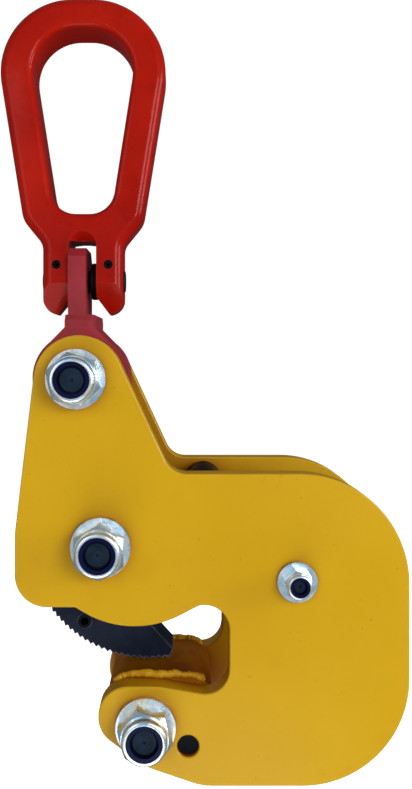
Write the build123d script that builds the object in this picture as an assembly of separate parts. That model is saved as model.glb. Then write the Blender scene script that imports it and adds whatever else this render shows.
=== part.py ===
from build123d import *
import math
import os

# Plate lifting clamp for horizontal plate, hanging from its lifting ring.
# Frame: the origin is where a crane hook bears, inside the ring's crown. +Z is up,
# +X runs from the mouth of the jaw into the throat, +Y from the nut side to the bolt heads.

# Side plates
PLATE_T = 12.0
GAP = 52.0
INNER_Y = GAP / 2
OUTER_Y = INNER_Y + PLATE_T

# Axes across the plates, as (x, z)
LINK_AXIS = (0.0, -187.3)
CAM_AXIS = (12.4, -271.2)
ANVIL_AXIS = (34.9, -360.9)
TAIL_AXIS = (110.5, -288.5)
DOWEL_AXIS = (56.0, -371.0)
STOP_AXIS = (65.6, -246.9)

# Levels of the plates' outline
TOP_EDGE_Z = -234.8
BOTTOM_EDGE_Z = -391.0
TAIL_X = 166.9
MOUTH_X = -30.75
UPPER_JAW_Z = -301.6
LOWER_JAW_Z = -341.35
JAW_NOSE_X = 11.15
THROAT_X = 76.85
THROAT_TOP_Z = -300.5

# Lifting ring
RING_T = 26.0
RING_OUTER_EDGE_R = 5.0
RING_INNER_EDGE_R = 3.0
RING_TOP_Z = 15.6
RING_SLOPE = 0.16
OPENING_BOTTOM_Z = -99.8
PRONG_X = 21.5
PRONG_GAP = 7.4
GAP_TOP_Z = -114.3
GAP_MOUTH_R = 7.5
GAP_MOUTH_DEPTH = 4.5
PRONG_END_Z = -153.7
PRONG_BEVEL_Z = -137.0
PRONG_TIP_Y = 4.5
LOAD_PIN_Z = -135.2
LOAD_PIN_R = 6.0
LOAD_PIN_PROUD = 0.8
RETAINER_R = 2.5
RETAINER_X = 13.8
RETAINER_UP = 8.1
PIN_SPACER_R = 10.0
PIN_SPACER_T = 3.4

# Lifting link
LINK_CLEAR = 0.15
HUB_R = 24.0
HUB_BORE_R = 11.0
BLADE_T = 9.3
BLADE_X = -2.5
BLADE_Y = 16.0
BLADE_TOP_Z = -118.2
BLADE_BEVEL = 4.8
SHOULDER_T = 15.0
SHOULDER_Z = -154.3
SADDLE_Z = -161.0

# Gripping cam, an eccentric round on its pivot
CAM_T = 20.0
CAM_R = 65.2
CAM_OFFSET = (22.8, -1.6)
CAM_HUB_R = 20.0
CAM_START_DEG = -66.0
CAM_END_DEG = 10.5
CAM_TEETH = 26
TOOTH_DEPTH = 1.35
PIVOT_BUSH_R = 11.0
RUN_CLEAR = 0.05
ROLL_PIN_AT = (1.1, -317.7)
ROLL_PIN_R = 3.7
ROLL_PIN_BORE_R = 2.3

# Anvil between the lower jaws
ANVIL_TOP_Z = -339.8
BEAD_R = 2.2

# Torsion spring beside the cam
SPRING_R = 15.5
WIRE_R = 1.5
SPRING_TURNS = 4

# Fasteners: shank radius, hex across flats, washer radius and thickness,
# head height, nut height, hex part of the nut
M16 = dict(shank=8.0, flats=24.0, washer=15.0, washer_t=3.0, head=10.0, nut=16.0, hex=11.5)
M8 = dict(shank=4.0, flats=13.0, washer=10.0, washer_t=2.0, head=5.3, nut=9.5, hex=6.6)
HOLE_CLEAR = 0.5
INSERT_T = 0.95
# The nylon lip's bore and the bolt's point, as shares of the shank's radius
INSERT_LIP = 0.86
BOLT_POINT = 0.31
BOLT_RECESS = 2.2
DOWEL_R = 5.5
DOWEL_RECESS = 2.4
EDGE_BREAK = 0.6


def outline(corners):
    """A flat closed outline in (x, z): each corner is x, z and its rounding radius."""
    face = make_face(Polyline(*[(x, z) for x, z, _ in corners], close=True))
    for x, z, radius in corners:
        if radius:
            corner = face.vertices().sort_by_distance((x, z, 0))[0]
            face = fillet(corner, radius)
    return face


def slab(face, low_y, high_y):
    """An outline in (x, z) made solid from low_y to high_y."""
    flat = Plane.XZ.offset(-high_y) * face
    return extrude(flat, amount=high_y - low_y)


def rod_y(axis, radius, low_y, high_y):
    """A round bar along Y."""
    return slab(Pos(axis[0], axis[1]) * Circle(radius), low_y, high_y)


def tube_y(axis, outer, inner, low_y, high_y):
    return rod_y(axis, outer, low_y, high_y) - rod_y(axis, inner, low_y - 1, high_y + 1)


def rod_x(radius, low_x, high_x, z):
    """A round bar along X on the mid-plane."""
    bar = Cylinder(radius, high_x - low_x, rotation=(0, 90, 0))
    return Pos((low_x + high_x) / 2, 0, z) * bar


def block(low, high):
    """A box from its lowest to its highest corner."""
    size = [b - a for a, b in zip(low, high)]
    centre = [(a + b) / 2 for a, b in zip(low, high)]
    return Pos(*centre) * Box(*size)


# Side plates

def plate_outline():
    return outline([
        (-11.9, -106.5, 22.5),
        (47.6, TOP_EDGE_Z, 12),
        (TAIL_X, TOP_EDGE_Z, 55),
        (TAIL_X, BOTTOM_EDGE_Z, 53.5),
        (63, BOTTOM_EDGE_Z, 30),
        (34, -381.2, 40),
        (JAW_NOSE_X, -364.1, 14),
        (JAW_NOSE_X, LOWER_JAW_Z, 14.5),
        (41, LOWER_JAW_Z, 40),
        (THROAT_X, LOWER_JAW_Z - 5.95, 12.5),
        (THROAT_X, THROAT_TOP_Z, 12.5),
        (62, THROAT_TOP_Z, 6),
        (27.45, -318.4, 50),
        (-0.5, UPPER_JAW_Z, 2),
        (MOUTH_X, UPPER_JAW_Z, 16),
        (MOUTH_X, -264.8, 60),
    ])


def side_plate(low_y):
    plate = slab(plate_outline(), low_y, low_y + PLATE_T)
    for axis, size in FASTENED:
        plate -= rod_y(axis, size["shank"] + HOLE_CLEAR, low_y - 1, low_y + PLATE_T + 1)
    plate -= rod_y(DOWEL_AXIS, DOWEL_R, low_y - 1, low_y + PLATE_T + 1)
    middle = low_y + PLATE_T / 2
    rims = plate.edges().filter_by(lambda e: abs(abs(e.center().Y - middle) - PLATE_T / 2) < 0.01)
    return chamfer(rims, EDGE_BREAK)


# Lifting ring and its load pin

def ring_leg_x(z):
    """Half width of the ring over its straight legs."""
    return 48.6 + RING_SLOPE * z


def is_opening_edge(edge):
    """True for an edge of the hook opening, by where its middle is."""
    middle = edge.position_at(0.5)
    inside = ring_leg_x(middle.Z) - 10
    return abs(middle.X) < inside and OPENING_BOTTOM_Z - 1 < middle.Z < 1


def ring_outline():
    half = [
        (ring_leg_x(RING_TOP_Z), RING_TOP_Z, 39),
        (ring_leg_x(-103), -103, 14),
        (PRONG_X, -116, 9),
        (PRONG_X, PRONG_END_Z, 8.5),
    ]
    mirrored = [(-x, z, r) for x, z, r in reversed(half)]
    return outline(half + mirrored)


def ring_opening():
    top = ring_leg_x(0) - 17.8
    bottom = ring_leg_x(OPENING_BOTTOM_Z) - 17.4
    return outline([
        (top, 0, 24),
        (bottom, OPENING_BOTTOM_Z, 13.5),
        (-bottom, OPENING_BOTTOM_Z, 13.5),
        (-top, 0, 24),
    ])


def clevis_gap():
    """The slot between the prongs, widened at their tips."""
    return outline([
        (PRONG_GAP, GAP_TOP_Z, 1.5),
        (PRONG_GAP, -144.5, 0),
        (PRONG_GAP + 7.5, PRONG_END_Z - 1, 0),
        (-PRONG_GAP - 7.5, PRONG_END_Z - 1, 0),
        (-PRONG_GAP, -144.5, 0),
        (-PRONG_GAP, GAP_TOP_Z, 1.5),
    ])


def gap_mouth(side):
    """The scooped rim over the slot in the ring's front or back face."""
    wide = GAP_MOUTH_R + 1
    narrow = GAP_MOUTH_R - GAP_MOUTH_DEPTH
    cone = Cone(narrow, wide, GAP_MOUTH_DEPTH + 1, rotation=(-90 * side, 0, 0))
    return Pos(0, side * (RING_T / 2 + (1 - GAP_MOUTH_DEPTH) / 2), GAP_TOP_Z - 2.5) * cone


def prong_bevel(side):
    """The wedge cut off the prongs' front or back face down to their tips."""
    face = side * RING_T / 2
    wedge = make_face(Polyline(
        (face, PRONG_BEVEL_Z), (side * PRONG_TIP_Y, PRONG_END_Z - 1),
        (face + side, PRONG_END_Z - 1), (face + side, PRONG_BEVEL_Z), close=True,
    ))
    return extrude(Plane.YZ.offset(-PRONG_X - 1) * wedge, amount=2 * PRONG_X + 2)


def retainer_axes():
    return [(side * RETAINER_X, LOAD_PIN_Z + RETAINER_UP) for side in (-1, 1)]


def on_faces(solid, half_t):
    """The edges that lie in the front and back faces of a slab centred on the mid-plane."""
    return solid.edges().filter_by(lambda e: abs(abs(e.center().Y) - half_t) < 0.01)


def lifting_ring():
    half_t = RING_T / 2
    ring = slab(ring_outline(), -half_t, half_t)
    ring = fillet(on_faces(ring, half_t), RING_OUTER_EDGE_R)
    opening = slab(ring_opening(), -half_t, half_t)
    ring -= opening
    inner = on_faces(ring, half_t).filter_by(is_opening_edge)
    ring = fillet(inner, RING_INNER_EDGE_R)
    ring -= slab(clevis_gap(), -half_t - 1, half_t + 1)
    for side in (-1, 1):
        ring -= prong_bevel(side)
        ring -= gap_mouth(side)
    ring -= rod_x(LOAD_PIN_R, -PRONG_X - 1, PRONG_X + 1, LOAD_PIN_Z)
    for axis in retainer_axes():
        ring -= rod_y(axis, RETAINER_R, -half_t - 1, half_t + 1)
    return ring


def load_pin():
    half = PRONG_X + LOAD_PIN_PROUD
    pin = chamfer(rod_x(LOAD_PIN_R, -half, half, LOAD_PIN_Z).edges(), 0.5)
    for axis in retainer_axes():
        pin -= rod_y(axis, RETAINER_R, -RING_T, RING_T)
    return pin


def load_pin_retainers():
    half = RING_T / 2 - 1.2
    return [tube_y(axis, RETAINER_R, 1.2, -half, half) for axis in retainer_axes()]


def load_pin_spacer():
    """The washer on the load pin, against the right prong."""
    low = PRONG_GAP - PIN_SPACER_T
    spacer = rod_x(PIN_SPACER_R, low, PRONG_GAP, LOAD_PIN_Z)
    return chamfer(spacer.edges(), 0.5) - rod_x(LOAD_PIN_R, low - 1, PRONG_GAP + 1, LOAD_PIN_Z)


# Lifting link between the ring and the side plates

def link_hub():
    half = INNER_Y - LINK_CLEAR
    x, z = LINK_AXIS
    saddle = make_face(Polyline(
        (-19, z + 14.6), (-SHOULDER_T / 2, SADDLE_Z), (SHOULDER_T / 2, SADDLE_Z), (19, z + 14.6),
        close=True,
    ))
    hub = slab(Pos(x, z) * Circle(HUB_R) + saddle, -half, half)
    return hub - rod_y(LINK_AXIS, HUB_BORE_R, -half - 1, half + 1)


def link_eye_plate():
    half = INNER_Y - LINK_CLEAR
    shoulder = block((-SHOULDER_T / 2, -half, SADDLE_Z), (SHOULDER_T / 2, half, SHOULDER_Z))
    shoulder = chamfer(shoulder.edges().filter_by(Axis.X).group_by(Axis.Z)[-1], 3)
    low_x = BLADE_X - BLADE_T / 2
    high_x = BLADE_X + BLADE_T / 2
    blade = block((low_x, -BLADE_Y, SHOULDER_Z), (high_x, BLADE_Y, BLADE_TOP_Z))
    blade = chamfer(blade.edges().filter_by(Axis.X).group_by(Axis.Z)[-1], BLADE_BEVEL)
    bore = rod_x(LOAD_PIN_R + RUN_CLEAR, low_x - 1, high_x + 1, LOAD_PIN_Z)
    return shoulder + blade - bore


def link_bush():
    half = INNER_Y - LINK_CLEAR
    return tube_y(LINK_AXIS, HUB_BORE_R, M16["shank"] + RUN_CLEAR, -half, half)


# Gripping cam

def cam_centre():
    return (CAM_AXIS[0] + CAM_OFFSET[0], CAM_AXIS[1] + CAM_OFFSET[1])


def cam_point(angle, radius):
    """A point on the cam's round, by its angle from straight down towards +X."""
    x, z = cam_centre()
    turn = math.radians(angle)
    return (x + radius * math.sin(turn), z - radius * math.cos(turn))


def cam_teeth():
    """Saw teeth that lean into the throat, from the mouth side to the tip."""
    step = (CAM_END_DEG - CAM_START_DEG) / CAM_TEETH
    points = []
    for tooth in range(CAM_TEETH):
        start = CAM_START_DEG + tooth * step
        points.append(cam_point(start, CAM_R - TOOTH_DEPTH))
        points.append(cam_point(start + 0.75 * step, CAM_R))
    return points


def gripping_cam():
    half = CAM_T / 2
    x, z = CAM_AXIS
    teeth = cam_teeth()
    sector = make_face(Polyline(
        *teeth, (48.3, -332.6), (37.3, -320.5), (31.5, -310), (x + CAM_HUB_R, z),
        (x - 3, z + 17), (x - CAM_HUB_R + 3, z + 8), (-22, -293), close=True,
    ))
    cam = slab(sector + Pos(x, z) * Circle(CAM_HUB_R), -half, half)
    cam -= rod_y(CAM_AXIS, PIVOT_BUSH_R + RUN_CLEAR, -half - 1, half + 1)
    return cam - rod_y(ROLL_PIN_AT, ROLL_PIN_R, -half - 1, half + 1)


def cam_roll_pin():
    return tube_y(ROLL_PIN_AT, ROLL_PIN_R, ROLL_PIN_BORE_R, -CAM_T / 2 - 1, CAM_T / 2 + 1)


def cam_pivot_bush():
    return tube_y(CAM_AXIS, PIVOT_BUSH_R, M16["shank"], -INNER_Y, INNER_Y)


def cam_side_spacers():
    near = CAM_T / 2 + 0.2
    front = tube_y(CAM_AXIS, PIVOT_BUSH_R + 2.5, PIVOT_BUSH_R, -INNER_Y, -near)
    back = tube_y(CAM_AXIS, PIVOT_BUSH_R + 2.5, PIVOT_BUSH_R, near, INNER_Y)
    return [front, back]


def cam_spring():
    """A torsion spring wound round the back spacer: stacked turns and a leg to the stop bar."""
    near = CAM_T / 2 + 1.2
    turns = []
    for turn in range(SPRING_TURNS):
        y = near + WIRE_R + turn * (2 * WIRE_R + 0.2)
        ring = Rot(90, 0, 0) * Torus(SPRING_R, WIRE_R)
        turns.append(Pos(CAM_AXIS[0], y, CAM_AXIS[1]) * ring)
    return turns


# Anvil

def anvil_block():
    body = slab(outline([
        (14.2, ANVIL_TOP_Z, 14),
        (69, ANVIL_TOP_Z, 13),
        (69, -385, 3),
        (47, -385, 3),
        (34, -378, 3),
        (14.2, -363.5, 10),
    ]), -INNER_Y, INNER_Y)
    body -= rod_y(ANVIL_AXIS, M16["shank"] + HOLE_CLEAR, -GAP, GAP)
    return body - rod_y(DOWEL_AXIS, DOWEL_R, -GAP, GAP)


def anvil_weld_beads():
    """A bead along each side plate where the anvil's crown stands above the lower jaws."""
    beads = []
    for side in (-1, 1):
        y = side * (INNER_Y - BEAD_R)
        bead = rod_x(BEAD_R, 25, 58, ANVIL_TOP_Z)
        bead = Pos(0, y, 0) * (bead - block((0, -9, ANVIL_TOP_Z - 9), (90, 9, ANVIL_TOP_Z)))
        beads.append(bead)
    return beads


def anvil_dowel():
    half = OUTER_Y - DOWEL_RECESS
    return chamfer(rod_y(DOWEL_AXIS, DOWEL_R - 0.1, -half, half).edges(), 0.6)


def cam_stop_bar():
    return rod_y(STOP_AXIS, 10, -INNER_Y, INNER_Y)


def tail_spacer():
    return tube_y(TAIL_AXIS, 8, M8["shank"] + 0.3, -INNER_Y, INNER_Y)


# Fasteners through both side plates

FASTENED = [(LINK_AXIS, M16), (CAM_AXIS, M16), (ANVIL_AXIS, M16), (TAIL_AXIS, M8)]


def hexagon(axis, flats, turn):
    return Pos(axis[0], axis[1]) * Rot(0, 0, turn) * RegularPolygon(flats / 2, 6, major_radius=False)


def bolt(axis, size, turn):
    """A hex bolt, head behind the back plate, end just inside the lock nut."""
    seat = OUTER_Y + size["washer_t"]
    end = -seat - size["nut"] + BOLT_RECESS
    shank = rod_y(axis, size["shank"], end, seat)
    shank = chamfer(shank.edges().group_by(Axis.Y)[0], BOLT_POINT * size["shank"])
    head = slab(hexagon(axis, size["flats"], turn), seat, seat + size["head"])
    crown = Pos(axis[0], seat + size["head"] / 2, axis[1]) * Rot(90, 0, 0) * Cone(
        size["flats"] * 0.5, size["flats"] * 0.5 + 6, size["head"]
    )
    dimple = Pos(axis[0], end + 0.6, axis[1]) * Rot(90, 0, 0) * Cone(0.2, 1.2, 1.4)
    return shank + (head & crown) - dimple


def washers(axis, size):
    inner = size["shank"] + HOLE_CLEAR
    thick = size["washer_t"]
    front = tube_y(axis, size["washer"], inner, -OUTER_Y - thick, -OUTER_Y)
    back = tube_y(axis, size["washer"], inner, OUTER_Y, OUTER_Y + thick)
    return [front, back]


def lock_nut(axis, size, turn):
    """A hex lock nut whose round collar holds a nylon ring."""
    seat = -OUTER_Y - size["washer_t"]
    top = seat - size["nut"]
    flats = size["flats"]
    prism = slab(hexagon(axis, flats, turn), seat - size["hex"], seat)
    crown = Pos(axis[0], seat - size["hex"] / 2, axis[1]) * Rot(90, 0, 0) * Cone(
        flats / 2 + size["hex"], flats / 2 - 0.3, size["hex"]
    )
    collar = rod_y(axis, flats * 0.465, top, seat)
    collar = fillet(collar.edges().group_by(Axis.Y)[0], flats * 0.07)
    nut = (prism & crown) + collar - rod_y(axis, size["shank"], top - 1, seat + 1)
    return nut - rod_y(axis, size["shank"] + INSERT_T, top - 1, top + 3.6)


def nylon_insert(axis, size):
    """The nut's nylon ring, with a lip that reaches in over the bolt's end."""
    top = -OUTER_Y - size["washer_t"] - size["nut"]
    outer = size["shank"] + INSERT_T
    ring = tube_y(axis, outer, size["shank"], top + 0.3, top + 3.6)
    return ring + tube_y(axis, outer, INSERT_LIP * size["shank"], top + 0.3, top + BOLT_RECESS - 0.2)


NODES = {
    "lifting_ring": lifting_ring(),
    "load_pin": load_pin(),
    "load_pin_retainers": load_pin_retainers(),
    "load_pin_spacer": load_pin_spacer(),
    "link_eye_plate": link_eye_plate(),
    "link_hub": link_hub(),
    "link_bush": link_bush(),
    "front_side_plate": side_plate(-OUTER_Y),
    "back_side_plate": side_plate(INNER_Y),
    "anvil_block": anvil_block(),
    "anvil_weld_beads": anvil_weld_beads(),
    "anvil_dowel": anvil_dowel(),
    "cam_stop_bar": cam_stop_bar(),
    "tail_spacer": tail_spacer(),
    "gripping_cam": gripping_cam(),
    "cam_roll_pin": cam_roll_pin(),
    "cam_pivot_bush": cam_pivot_bush(),
    "cam_side_spacers": cam_side_spacers(),
    "cam_spring": cam_spring(),
}

NAMES = ["link", "cam", "anvil", "tail"]
TURNS = [42, 30, 46, 42]
for name, turn, (axis, size) in zip(NAMES, TURNS, FASTENED):
    NODES[f"{name}_bolt"] = bolt(axis, size, turn)
    NODES[f"{name}_bolt_washers"] = washers(axis, size)
    NODES[f"{name}_bolt_nut"] = lock_nut(axis, size, turn)
    NODES[f"{name}_nut_insert"] = nylon_insert(axis, size)

os.makedirs("parts", exist_ok=True)
for node, made in NODES.items():
    solids = made if isinstance(made, list) else [made]
    export_step(Compound(solids), f"parts/{node}.step")
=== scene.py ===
import math
import random

import bmesh
import bpy
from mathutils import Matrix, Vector


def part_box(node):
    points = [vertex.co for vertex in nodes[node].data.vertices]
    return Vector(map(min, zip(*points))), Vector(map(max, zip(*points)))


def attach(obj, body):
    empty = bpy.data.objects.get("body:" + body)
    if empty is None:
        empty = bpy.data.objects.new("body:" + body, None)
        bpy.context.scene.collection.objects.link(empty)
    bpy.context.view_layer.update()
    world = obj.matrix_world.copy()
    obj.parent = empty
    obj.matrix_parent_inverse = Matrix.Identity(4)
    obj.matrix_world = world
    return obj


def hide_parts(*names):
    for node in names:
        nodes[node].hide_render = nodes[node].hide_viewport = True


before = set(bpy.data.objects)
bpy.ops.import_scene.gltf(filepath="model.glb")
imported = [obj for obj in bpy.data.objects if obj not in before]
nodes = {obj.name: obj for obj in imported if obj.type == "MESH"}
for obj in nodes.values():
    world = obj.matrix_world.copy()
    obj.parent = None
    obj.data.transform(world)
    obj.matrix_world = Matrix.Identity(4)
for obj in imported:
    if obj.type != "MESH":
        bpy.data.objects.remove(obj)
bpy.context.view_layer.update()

# Inner face of the back plate, and the bottom edge of both plates
GAP_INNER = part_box("back_side_plate")[0].y
BASE_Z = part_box("front_side_plate")[0].z


# Node graphs ---------------------------------------------------------------

class Graph:
    """A material's node tree, with short calls for the nodes used here."""

    def __init__(self, name):
        self.material = bpy.data.materials.new(name)
        self.material.use_nodes = True
        self.tree = self.material.node_tree
        self.shader = self.tree.nodes["Principled BSDF"]
        self.place = self.add("ShaderNodeTexCoord").outputs["Object"]

    def add(self, kind, **values):
        node = self.tree.nodes.new(kind)
        for key, value in values.items():
            setattr(node, key, value)
        return node

    def link(self, output, socket):
        self.tree.links.new(output, socket)

    def noise(self, scale, detail=4.0, rough=0.55, distort=0.0, stretch=None):
        node = self.add("ShaderNodeTexNoise")
        node.inputs["Scale"].default_value = scale
        node.inputs["Detail"].default_value = detail
        node.inputs["Roughness"].default_value = rough
        node.inputs["Distortion"].default_value = distort
        place = self.place
        if stretch:
            mapping = self.add("ShaderNodeMapping")
            mapping.inputs["Scale"].default_value = stretch
            self.link(self.place, mapping.inputs["Vector"])
            place = mapping.outputs["Vector"]
        self.link(place, node.inputs["Vector"])
        return node.outputs["Fac"]

    def ramp(self, value, stops):
        node = self.add("ShaderNodeValToRGB")
        elements = node.color_ramp.elements
        while len(elements) < len(stops):
            elements.new(0.5)
        for element, (place, colour) in zip(elements, stops):
            element.position = place
            element.color = colour if isinstance(colour, tuple) else (colour, colour, colour, 1)
        self.link(value, node.inputs["Fac"])
        return node.outputs["Color"]

    def mix(self, factor, first, second):
        """A blend of two colours; the node's sockets are picked by number as their names repeat."""
        node = self.add("ShaderNodeMix", data_type="RGBA", blend_type="MIX")
        sockets = (node.inputs[0], node.inputs[6], node.inputs[7])
        for socket, value in zip(sockets, (factor, first, second)):
            if isinstance(value, tuple):
                socket.default_value = value
            else:
                self.link(value, socket)
        return node.outputs[2]

    def math(self, operation, first, second):
        node = self.add("ShaderNodeMath", operation=operation)
        for socket, value in zip(node.inputs, (first, second)):
            if isinstance(value, (float, int)):
                socket.default_value = value
            else:
                self.link(value, socket)
        return node.outputs[0]

    def painted_recess_shade(self, distance, low, high):
        """High where other surfaces stand close in front; it places painted shade in recesses."""
        node = self.add("ShaderNodeAmbientOcclusion", samples=8)
        node.inputs["Distance"].default_value = distance
        return self.ramp(node.outputs["AO"], [(low, 1.0), (high, 0.0)])

    def edge_wear_and_highlight(self, radius, breakup):
        """High near edges, where a normal rounded over the radius turns away, broken up by noise; it
        places edge wear and a painted edge highlight.
        """
        bevel = self.add("ShaderNodeBevel", samples=4)
        bevel.inputs["Radius"].default_value = radius
        geometry = self.add("ShaderNodeNewGeometry")
        turned = self.add("ShaderNodeVectorMath", operation="DOT_PRODUCT")
        self.link(bevel.outputs["Normal"], turned.inputs[0])
        self.link(geometry.outputs["Normal"], turned.inputs[1])
        edge = self.ramp(turned.outputs["Value"], [(0.90, 1.0), (0.995, 0.0)])
        patches = self.ramp(self.noise(breakup, 4), [(0.35, 0.25), (0.65, 1.0)])
        return self.math("MULTIPLY", edge, patches)

    def bump(self, height, strength, distance, under=None):
        node = self.add("ShaderNodeBump")
        node.inputs["Strength"].default_value = strength
        node.inputs["Distance"].default_value = distance
        self.link(height, node.inputs["Height"])
        if under:
            self.link(under, node.inputs["Normal"])
        return node.outputs["Normal"]

    def finish(self, colour, rough, normal=None, **constants):
        for socket, value in (("Base Color", colour), ("Roughness", rough)):
            if isinstance(value, (tuple, float)):
                self.shader.inputs[socket].default_value = value
            else:
                self.link(value, self.shader.inputs[socket])
        if normal:
            self.link(normal, self.shader.inputs["Normal"])
        for key, value in constants.items():
            self.shader.inputs[key.replace("_", " ")].default_value = value
        return self.material


def rgb(red, green, blue):
    """A colour given as screen values from 0 to 255."""
    linear = []
    for screen in (red / 255, green / 255, blue / 255):
        linear.append(screen / 12.92 if screen < 10 / 255 else ((screen + 0.055) / 1.055) ** 2.4)
    return (*linear, 1.0)


# Materials -----------------------------------------------------------------

def yellow_enamel():
    g = Graph("yellow_enamel")
    cloud = g.ramp(g.noise(7, 3), [(0.32, rgb(198, 153, 3)), (0.70, rgb(209, 165, 12))])
    grime = g.ramp(g.noise(30, 6, 0.62), [(0.58, 0.0), (0.80, 1.0)])
    colour = g.mix(g.math("MULTIPLY", grime, 0.18), cloud, rgb(158, 108, 14))
    specks = g.ramp(g.noise(460, 2, 0.5), [(0.74, 0.0), (0.765, 1.0)])
    colour = g.mix(g.math("MULTIPLY", specks, 0.4), colour, rgb(112, 78, 22))
    # Edges lightened to pale yellow: edge wear plus a painted edge highlight.
    worn_and_lit_edge = g.edge_wear_and_highlight(0.0009, 90)
    colour = g.mix(g.math("MULTIPLY", worn_and_lit_edge, 0.35), colour, rgb(236, 208, 104))
    # Painted shade: deeper orange-brown where other surfaces stand close, standing in for shadow and
    # bounced light in recesses.
    colour = g.mix(g.painted_recess_shade(0.06, 0.4, 0.86), colour, rgb(150, 78, 4))
    rough = g.ramp(g.noise(24, 5), [(0.3, 0.30), (0.75, 0.42)])
    peel = g.bump(g.noise(620, 2, 0.5), 0.14, 0.0004)
    normal = g.bump(g.noise(55, 3), 0.05, 0.0015, peel)
    return g.finish(colour, rough, normal, Specular_IOR_Level=0.2, Coat_Weight=0.1, Coat_Roughness=0.2)


def shaded_anvil_yellow():
    g = Graph("shaded_anvil_yellow")
    # Painted shade: the plates' yellow darkened to orange-brown, as if lying in the shade between the
    # jaws.
    cloud = g.ramp(g.noise(34, 5), [(0.3, rgb(130, 70, 3)), (0.72, rgb(164, 104, 6))])
    rubbed = g.ramp(g.noise(90, 6, 0.6, 0.4, (1, 0.3, 1)), [(0.54, 0.0), (0.76, 1.0)])
    colour = g.mix(g.math("MULTIPLY", rubbed, 0.5), cloud, rgb(84, 40, 6))
    rough = g.ramp(g.noise(50, 5), [(0.3, 0.48), (0.75, 0.66)])
    grain = g.bump(g.noise(260, 5, 0.6), 0.2, 0.0005)
    return g.finish(colour, rough, grain, Specular_IOR_Level=0.08)


def weld_yellow():
    g = Graph("weld_yellow")
    colour = g.ramp(g.noise(160, 5, 0.6), [(0.3, rgb(176, 120, 8)), (0.72, rgb(210, 164, 28))])
    rough = g.ramp(g.noise(120, 4), [(0.3, 0.3), (0.75, 0.5)])
    ripple = g.bump(g.noise(380, 5, 0.65), 0.5, 0.0008)
    return g.finish(colour, rough, ripple, Specular_IOR_Level=0.15, Coat_Weight=0.1, Coat_Roughness=0.2)


def red_enamel():
    g = Graph("red_enamel")
    cloud = g.ramp(g.noise(20, 4), [(0.3, rgb(150, 10, 0)), (0.7, rgb(178, 24, 3))])
    dark = g.ramp(g.noise(70, 6, 0.65), [(0.56, 0.0), (0.8, 1.0)])
    colour = g.mix(g.math("MULTIPLY", dark, 0.4), cloud, rgb(104, 10, 4))
    # Rims lightened to a pinkish red: edge wear plus a painted edge highlight.
    worn_and_lit_edge = g.edge_wear_and_highlight(0.0012, 60)
    colour = g.mix(g.math("MULTIPLY", worn_and_lit_edge, 0.22), colour, rgb(206, 74, 54))
    rough = g.ramp(g.noise(45, 5), [(0.3, 0.26), (0.75, 0.44)])
    scale = g.bump(g.noise(150, 5, 0.6, 0.3), 0.2, 0.0008)
    normal = g.bump(g.noise(32, 3), 0.4, 0.0025, scale)
    return g.finish(colour, rough, normal, Specular_IOR_Level=0.06, Coat_Weight=0.3,
                    Coat_Roughness=0.08, Coat_IOR=1.3)


def link_paint():
    g = Graph("link_paint")
    cloud = g.ramp(g.noise(38, 5), [(0.3, rgb(144, 32, 42)), (0.7, rgb(168, 56, 68))])
    streak = g.ramp(g.noise(60, 6, 0.6, 0.4, (1, 1, 0.16)), [(0.50, 0.0), (0.74, 1.0)])
    colour = g.mix(g.math("MULTIPLY", streak, 0.5), cloud, rgb(112, 60, 50))
    # Edges lightened to a paler red: edge wear plus a painted edge highlight.
    worn_and_lit_edge = g.edge_wear_and_highlight(0.001, 120)
    colour = g.mix(g.math("MULTIPLY", worn_and_lit_edge, 0.3), colour, rgb(192, 60, 56))
    rough = g.ramp(g.noise(80, 5), [(0.3, 0.36), (0.75, 0.58)])
    grain = g.bump(g.noise(240, 4, 0.6, 0.2, (1, 1, 0.35)), 0.3, 0.0006)
    return g.finish(colour, rough, grain, Specular_IOR_Level=0.15, Coat_Weight=0.1, Coat_Roughness=0.2)


def zinc_plate():
    g = Graph("zinc_plate")
    stops = [(0.28, rgb(176, 204, 226)), (0.5, rgb(222, 232, 238)), (0.74, rgb(228, 214, 184))]
    tint = g.ramp(g.noise(85, 3, 0.5, 0.6), stops)
    rough = g.ramp(g.noise(240, 5, 0.6), [(0.3, 0.22), (0.8, 0.42)])
    scuff = g.bump(g.noise(480, 4, 0.6), 0.16, 0.0003)
    normal = g.bump(g.noise(60, 2), 0.3, 0.0006, scuff)
    return g.finish(tint, rough, normal, Metallic=1.0)


def black_steel(name, low, high):
    g = Graph(name)
    cloud = g.ramp(g.noise(140, 5), [(0.3, low), (0.72, high)])
    # Edges lightened to grey-blue: edge wear plus a painted edge highlight.
    worn_and_lit_edge = g.edge_wear_and_highlight(0.0006, 220)
    colour = g.mix(g.math("MULTIPLY", worn_and_lit_edge, 0.35), cloud, rgb(92, 104, 120))
    rough = g.ramp(g.noise(160, 5), [(0.3, 0.28), (0.8, 0.5)])
    scale = g.bump(g.noise(300, 4, 0.6), 0.22, 0.0004)
    return g.finish(colour, rough, scale, Specular_IOR_Level=0.05)


def hardened_cam():
    g = Graph("hardened_cam")
    cloud = g.ramp(g.noise(60, 5, 0.6, 0.5), [(0.3, rgb(14, 18, 32)), (0.72, rgb(28, 38, 60))])
    # Edges lightened to steel grey: edge wear plus a painted edge highlight.
    worn_and_lit_edge = g.edge_wear_and_highlight(0.0009, 150)
    colour = g.mix(g.math("MULTIPLY", worn_and_lit_edge, 0.8), cloud, rgb(150, 156, 168))
    rough = g.ramp(g.noise(110, 5), [(0.3, 0.34), (0.8, 0.56)])
    scale = g.bump(g.noise(210, 5, 0.65), 0.25, 0.0006)
    return g.finish(colour, rough, scale, Specular_IOR_Level=0.12)


def nylon():
    g = Graph("nylon")
    colour = g.ramp(g.noise(150, 3), [(0.3, rgb(3, 6, 38)), (0.8, rgb(8, 16, 66))])
    return g.finish(colour, 0.3, g.bump(g.noise(420, 3), 0.1, 0.0003), Specular_IOR_Level=0.12)


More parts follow.
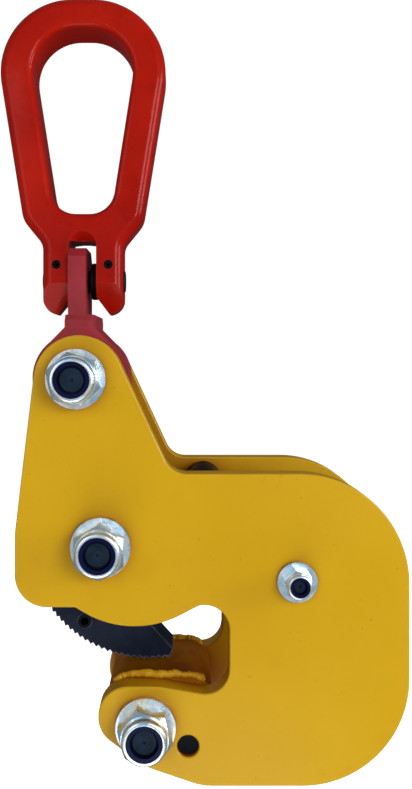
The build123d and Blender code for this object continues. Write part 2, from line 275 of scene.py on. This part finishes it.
def spring_wire():
    g = Graph("spring_wire")
    colour = g.ramp(g.noise(240, 3), [(0.3, rgb(26, 27, 30)), (0.8, rgb(62, 62, 66))])
    return g.finish(colour, 0.34, g.bump(g.noise(600, 3), 0.15, 0.0002), Metallic=0.8)


YELLOW = yellow_enamel()
SHADED_ANVIL = shaded_anvil_yellow()
WELD = weld_yellow()
RED = red_enamel()
LINK = link_paint()
ZINC = zinc_plate()
BLACK = black_steel("black_steel", rgb(6, 6, 11), rgb(17, 19, 27))
OXIDE = black_steel("blue_oxide_steel", rgb(16, 28, 42), rgb(32, 48, 66))
CAM = hardened_cam()
NYLON = nylon()
WIRE = spring_wire()

FINISHES = {
    "lifting_ring": RED, "load_pin": BLACK, "load_pin_retainers": BLACK, "load_pin_spacer": BLACK,
    "link_eye_plate": LINK, "link_hub": LINK, "link_bush": ZINC,
    "front_side_plate": YELLOW, "back_side_plate": YELLOW, "anvil_block": SHADED_ANVIL,
    "anvil_weld_beads": YELLOW, "anvil_dowel": BLACK, "cam_stop_bar": BLACK,
    "tail_spacer": ZINC, "gripping_cam": CAM, "cam_roll_pin": BLACK,
    "cam_pivot_bush": ZINC, "cam_side_spacers": ZINC, "cam_spring": WIRE,
}
for name in ("link", "cam", "anvil", "tail"):
    FINISHES[f"{name}_bolt"] = OXIDE
    FINISHES[f"{name}_bolt_washers"] = ZINC
    FINISHES[f"{name}_bolt_nut"] = ZINC
    FINISHES[f"{name}_nut_insert"] = NYLON

for node, finish in FINISHES.items():
    for slot in nodes[node].material_slots:
        slot.material = finish


# Meshes --------------------------------------------------------------------

def mesh_object(name, bm, material):
    """A smooth-shaded object from a bmesh, which is freed."""
    bm.normal_update()
    mesh = bpy.data.meshes.new(name)
    bm.to_mesh(mesh)
    bm.free()
    mesh.materials.append(material)
    mesh.shade_smooth()
    piece = bpy.data.objects.new(name, mesh)
    bpy.context.collection.objects.link(piece)
    return piece


def swept_tube(bm, points, radii, sides=14):
    """A closed tube along points, with a radius at each."""
    rings = []
    for index, point in enumerate(points):
        ahead = points[min(index + 1, len(points) - 1)]
        behind = points[max(index - 1, 0)]
        along = (ahead - behind).normalized()
        across = along.cross(Vector((0, 1, 0)))
        if across.length < 0.1:
            across = along.cross(Vector((1, 0, 0)))
        across.normalize()
        up = across.cross(along)
        ring = []
        for side in range(sides):
            turn = 2 * math.pi * side / sides
            reach = across * math.cos(turn) + up * math.sin(turn)
            ring.append(bm.verts.new(point + reach * radii[index]))
        rings.append(ring)
    for first, second in zip(rings, rings[1:]):
        for side in range(sides):
            other = (side + 1) % sides
            bm.faces.new((first[side], first[other], second[other], second[side]))
    bm.faces.new(reversed(rings[0]))
    bm.faces.new(rings[-1])
    bmesh.ops.recalc_face_normals(bm, faces=bm.faces)


# Weld beads ----------------------------------------------------------------

BEAD_R = 0.0019
BEAD_STEP = 0.0006
BEAD_INSET = 0.45  # of the bead's radius, in from the plate
BEAD_RAISE = 0.12  # of the bead's radius, up from the crown
TAPER_STEPS = 5
RIPPLE = 0.0024
WANDER = 0.00014
LUMP = 0.11
LUMP_LIMIT = 0.2
CROWN_R = 0.013
CROWN_FROM_DEG = -46
CROWN_TO_DEG = 42
CROWN_STEP_DEG = 2


def crown_line():
    """Points over the anvil's rounded crown, as (x, z), from the nose side to the throat."""
    low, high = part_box("anvil_block")
    left = Vector((low.x + CROWN_R, high.z - CROWN_R))
    right = Vector((high.x - CROWN_R, high.z - CROWN_R))
    line = []
    for degree in range(CROWN_FROM_DEG, 1, CROWN_STEP_DEG):
        turn = math.radians(degree)
        line.append(left + CROWN_R * Vector((math.sin(turn), math.cos(turn))))
    flat = right.x - left.x
    count = int(flat / BEAD_STEP)
    line += [Vector((left.x + flat * n / count, high.z)) for n in range(1, count)]
    for degree in range(0, CROWN_TO_DEG + 1, CROWN_STEP_DEG):
        turn = math.radians(degree)
        line.append(right + CROWN_R * Vector((math.sin(turn), math.cos(turn))))
    return line


def weld_beads():
    """A rippled bead along each side plate over the anvil's crown."""
    draw = random.Random(7)
    bm = bmesh.new()
    line = crown_line()
    for side in (-1, 1):
        points, radii = [], []
        travelled = 0.0
        wander = lump = 0.0
        for index, spot in enumerate(line):
            travelled += (spot - line[index - 1]).length if index else 0.0
            wander = 0.92 * wander + draw.uniform(-WANDER, WANDER)
            lump = 0.88 * lump + draw.uniform(-LUMP, LUMP)
            ripple = abs(math.sin(math.pi * travelled / RIPPLE))
            from_end = min(index, len(line) - 1 - index) / TAPER_STEPS
            taper = min(1.0, 0.55 + 0.45 * from_end)
            swell = 0.9 + 0.07 * ripple + min(lump, LUMP_LIMIT)
            radii.append(BEAD_R * swell * taper)
            y = side * (GAP_INNER - BEAD_R * BEAD_INSET) - side * wander
            points.append(Vector((spot.x, y, spot.y + BEAD_R * BEAD_RAISE + wander)))
        swept_tube(bm, points, radii)
    beads = mesh_object("weld_beads", bm, WELD)
    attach(beads, "frame")
    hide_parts("anvil_weld_beads")


weld_beads()


# Torsion spring -------------------------------------------------------------

WIRE_R = 0.0015
SPRING_TURNS = 3.75
SPRING_START_DEG = -58
SPRING_STEPS = 150
LEG_STEP = 0.001
FIRST_LEG_STEPS = 14
LAST_LEG_STEPS = 16


def torsion_spring():
    """A coil round the cam's back spacer, with a straight leg from each end."""
    low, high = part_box("cam_spring")
    centre = (low + high) / 2
    coil = (high.x - low.x) / 2 - WIRE_R
    coils = []
    for step in range(SPRING_STEPS + 1):
        part = step / SPRING_STEPS
        turn = math.radians(SPRING_START_DEG) + 2 * math.pi * SPRING_TURNS * part
        x = centre.x + coil * math.cos(turn)
        y = low.y + WIRE_R + (high.y - low.y - 2 * WIRE_R) * part
        z = centre.z + coil * math.sin(turn)
        coils.append(Vector((x, y, z)))
    first_way = (coils[0] - coils[1]).normalized() * LEG_STEP
    last_way = (coils[-1] - coils[-2]).normalized() * LEG_STEP
    first_leg = [coils[0] + first_way * n for n in range(FIRST_LEG_STEPS, 0, -1)]
    last_leg = [coils[-1] + last_way * n for n in range(1, LAST_LEG_STEPS + 1)]
    route = first_leg + coils + last_leg
    bm = bmesh.new()
    swept_tube(bm, route, [WIRE_R] * len(route), 12)
    spring = mesh_object("torsion_spring", bm, WIRE)
    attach(spring, "frame")
    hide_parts("cam_spring")


torsion_spring()


# Studio ---------------------------------------------------------------------

FLOOR_DROP = 0.2
FLOOR_SIZE = 40
FLOOR_GREY = (0.9, 0.9, 0.9, 1.0)
PAPER = 1.05
DOME = 0.24
DOME_COLOUR = (1, 0.94, 0.86, 1)
MIRRORED_FRONT = 0.42
MIRRORED_BACK = 0.03
MIRRORED_COLOUR = (0.72, 0.88, 1, 1)
LIGHT_AIM = Vector((0.05, 0, -0.2))
CAMERA_AT = (0.051, -0.428, -0.1753)
FOCAL = 35.6
SHIFT_X = 0.0355
SHIFT_Y = -0.0501


def studio_floor():
    """A pale floor well under the clamp, which neither lights it, shows in it nor shades it."""
    bpy.ops.mesh.primitive_plane_add(size=FLOOR_SIZE, location=(0, 0, BASE_Z - FLOOR_DROP))
    floor = bpy.context.object
    floor.name = "studio_floor"
    g = Graph("studio_floor")
    glow = dict(Specular_IOR_Level=0.0, Emission_Color=(1, 1, 1, 1), Emission_Strength=0.86)
    floor.data.materials.append(g.finish(FLOOR_GREY, 0.9, None, **glow))
    floor.visible_diffuse = False
    floor.visible_glossy = False
    floor.visible_shadow = False


def studio_world():
    """White behind the object, a dimmer dome that lights it, and one for it to mirror.

    The mirrored dome is pale blue in front of the object and almost dark behind it.
    """
    world = bpy.data.worlds.new("studio_world")
    bpy.context.scene.world = world
    world.use_nodes = True
    tree = world.node_tree
    link = tree.links.new

    dome = tree.nodes["Background"]
    dome.inputs["Color"].default_value = DOME_COLOUR
    dome.inputs["Strength"].default_value = DOME
    paper = tree.nodes.new("ShaderNodeBackground")
    paper.inputs["Color"].default_value = (1, 1, 1, 1)
    paper.inputs["Strength"].default_value = PAPER
    mirrored = tree.nodes.new("ShaderNodeBackground")
    mirrored.inputs["Color"].default_value = MIRRORED_COLOUR

    way = tree.nodes.new("ShaderNodeTexCoord")
    parts = tree.nodes.new("ShaderNodeSeparateXYZ")
    depth = tree.nodes.new("ShaderNodeMapRange")
    depth.inputs["From Min"].default_value = -0.5
    depth.inputs["From Max"].default_value = 1.0
    depth.inputs["To Min"].default_value = MIRRORED_FRONT
    depth.inputs["To Max"].default_value = MIRRORED_BACK
    link(way.outputs["Generated"], parts.inputs["Vector"])
    link(parts.outputs["Y"], depth.inputs["Value"])
    link(depth.outputs["Result"], mirrored.inputs["Strength"])

    path = tree.nodes.new("ShaderNodeLightPath")
    lighting = tree.nodes.new("ShaderNodeMixShader")
    link(path.outputs["Is Glossy Ray"], lighting.inputs["Fac"])
    link(dome.outputs["Background"], lighting.inputs[1])
    link(mirrored.outputs["Background"], lighting.inputs[2])
    seen = tree.nodes.new("ShaderNodeMixShader")
    link(path.outputs["Is Camera Ray"], seen.inputs["Fac"])
    link(lighting.outputs["Shader"], seen.inputs[1])
    link(paper.outputs["Background"], seen.inputs[2])
    link(seen.outputs["Shader"], tree.nodes["World Output"].inputs["Surface"])


def area_light(name, place, size, power, mirrored=True):
    """A square light aimed at the clamp, which shows in glossy surfaces if it is mirrored."""
    lamp = bpy.data.lights.new(name, "AREA")
    lamp.energy = power
    lamp.size = size
    holder = bpy.data.objects.new(name, lamp)
    holder.location = place
    holder.visible_glossy = mirrored
    holder.rotation_mode = "QUATERNION"
    holder.rotation_quaternion = (LIGHT_AIM - Vector(place)).to_track_quat("-Z", "Y")
    bpy.context.collection.objects.link(holder)


def camera():
    data = bpy.data.cameras.new("camera")
    data.lens = FOCAL
    data.sensor_width = 36.0
    data.clip_start = 0.01
    data.shift_x = SHIFT_X
    data.shift_y = SHIFT_Y
    holder = bpy.data.objects.new("camera", data)
    holder.location = CAMERA_AT
    holder.rotation_euler = (math.pi / 2, 0, 0)
    bpy.context.collection.objects.link(holder)
    bpy.context.scene.camera = holder


bpy.context.scene.view_settings.view_transform = "Standard"
studio_floor()
studio_world()
area_light("key", (0.85, -1.45, 0.1), 0.6, 12)
area_light("fill", (-0.7, -1.3, 0.1), 0.8, 4)
area_light("low", (-0.08, -0.7, -1.1), 0.8, 5)
area_light("side", (1.5, -0.4, 0.1), 0.6, 10)
area_light("back", (-0.5, 1.6, 0.4), 0.8, 8, mirrored=False)
camera()
